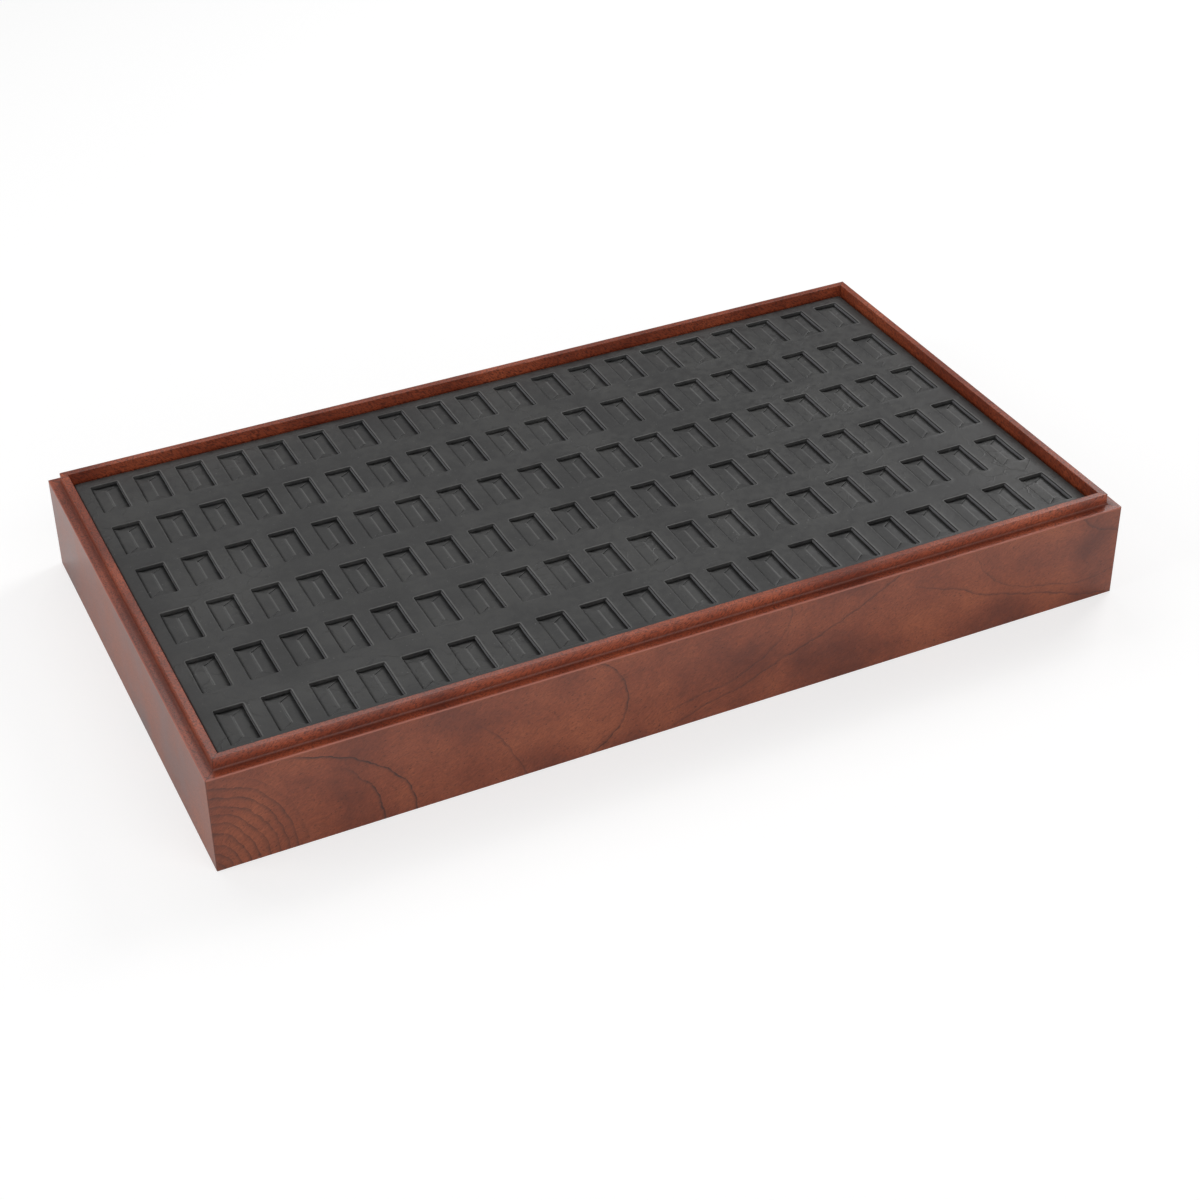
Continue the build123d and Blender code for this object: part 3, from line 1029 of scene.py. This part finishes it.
def buildFelt():
    low, high = (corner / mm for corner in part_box("underside_felt"))
    rand = random.Random(felt["seed"])
    countX = round((high.x - low.x) / felt["spacing"])
    countY = round((high.y - low.y) / felt["spacing"])
    shell = newShell()
    points, faces = shell["points"], shell["faces"]
    layers = []
    for layer in (0, 1):
        rows = []
        for j in range(countY + 1):
            line = []
            for i in range(countX + 1):
                x = low.x + (high.x - low.x) * i / countX
                y = low.y + (high.y - low.y) * j / countY
                onEdge = i in (0, countX) or j in (0, countY)
                if onEdge:
                    x, y = handCut(x, y)
                z = high.z - layer * felt["thickness"]
                if layer:
                    z += rand.uniform(0, felt["nap"]) + (felt["edgeLift"] if onEdge else 0)
                line.append(len(points))
                points.append((x, y, z))
            rows.append(line)
        layers.append(rows)
    upper, lower = layers
    for j in range(countY):
        for i in range(countX):
            faces.append([upper[j][i], upper[j][i + 1], upper[j + 1][i + 1], upper[j + 1][i]])
            faces.append([lower[j][i], lower[j + 1][i], lower[j + 1][i + 1], lower[j][i + 1]])
    rim = gridRim(countX, countY)
    joinRings(shell, [lower[j][i] for i, j in rim], [upper[j][i] for i, j in rim])
    return shell


# A place on the felt's edge, a little off the straight line, in step on both faces
def handCut(x, y):
    waveX, waveY = felt["waves"]
    x -= felt["waviness"] * (0.5 + 0.5 * math.sin(waveX * y)) * (1 if x > 0 else -1)
    y -= felt["waviness"] * (0.5 + 0.5 * math.sin(waveY * x)) * (1 if y > 0 else -1)
    return x, y


feltShell = buildFelt()
feltPiece = newPiece("base_felt", feltShell, pressedFelt())
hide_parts("underside_felt")
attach(feltPiece, "tray")
# Stage: white floor, soft boxes behind, to the right and in front, and pale cards low at the left and
# front

light = {
    "lamps": (
        # name, watts, place, size
        ("back_box", 3.6, (-0.1, 0.75, 0.95), (1.2, 0.5)),
        ("right_box", 6.8, (1.0, 0.48, 0.84), (0.5, 0.6)),
        ("front_box", 3.5, (0.0, -0.9, 0.9), (1.2, 0.5)),
        ("left_card", 5.2, (-1.0, 0.0, 0.35), (0.6, 1.2)),
        ("front_card", 3.2, (0.2, -1.1, 0.3), (1.4, 0.5)),
    ),
    "world": 0.16,
    "floor": 0.86,
    "mirroredFloor": 1.0,  # plain white in reflections
    "seenFloor": 0.44,  # the part of the floor that the camera sees shaded, so that the shadow stays
    "seenGlow": 0.64,  # and the part that it sees as plain white
    "floorSize": 6.0,
}


def areaLamp(name, power, spot, size):
    data = bpy.data.lights.new(name, "AREA")
    data.shape, data.size, data.size_y = "RECTANGLE", size[0], size[1]
    data.energy = power
    lamp = bpy.data.objects.new(name, data)
    bpy.context.scene.collection.objects.link(lamp)
    lamp.location = spot
    lamp.rotation_mode = "QUATERNION"
    lamp.rotation_quaternion = (-Vector(spot)).to_track_quat("-Z", "Y")


for lamp in light["lamps"]:
    areaLamp(*lamp)


# White paper. The camera sees it glow, so that it meets the white behind it, with the shadow kept.
def whitePaper():
    material, tree = newMaterial("white_paper_floor")
    rays = addNode(tree, "LightPath")
    seen = addNode(tree, "Math", {"operation": "MAXIMUM"},
                   {0: rays.outputs["Is Camera Ray"], 1: rays.outputs["Is Transmission Ray"]})
    mirrored = addNode(tree, "Mix", {
        "data_type": "RGBA", "A": (light["floor"],) * 3 + (1,), "B": (light["mirroredFloor"],) * 3 + (1,),
    }, {"Factor": rays.outputs["Is Glossy Ray"]})
    color = addNode(tree, "Mix", {"data_type": "RGBA", "B": (light["seenFloor"],) * 3 + (1,)},
                    {"Factor": seen, "A": mirrored})
    strength = addNode(tree, "Math", {"operation": "MULTIPLY", 1: light["seenGlow"]}, {0: seen})
    paper = addNode(tree, "AddShader", links={
        0: addNode(tree, "BsdfDiffuse", links={"Color": color}),
        1: addNode(tree, "Emission", {"Color": (1, 1, 1, 1)}, {"Strength": strength}),
    })
    addNode(tree, "OutputMaterial", links={"Surface": paper})
    return material


def paleRoom():
    room = bpy.data.worlds.new("pale_room")
    room.use_nodes = True
    tree = room.node_tree
    tree.nodes.clear()
    rays = addNode(tree, "LightPath")
    strength = addNode(tree, "Mix", {"data_type": "FLOAT", "A": light["world"], "B": 1.0},
                       {"Factor": rays.outputs["Is Camera Ray"]})
    sky = addNode(tree, "Background", {"Color": (1, 1, 1, 1)}, {"Strength": strength})
    addNode(tree, "OutputWorld", links={"Surface": sky})
    return room


reach = light["floorSize"] / mm
floorShell = {"points": [(-reach, -reach, 0), (reach, -reach, 0), (reach, reach, 0), (-reach, reach, 0)],
              "faces": [[0, 1, 2, 3]]}
newPiece("floor", floorShell, whitePaper(), smooth=False)
bpy.context.scene.world = paleRoom()
bpy.context.scene.view_settings.view_transform = "Standard"
print("stage lit")
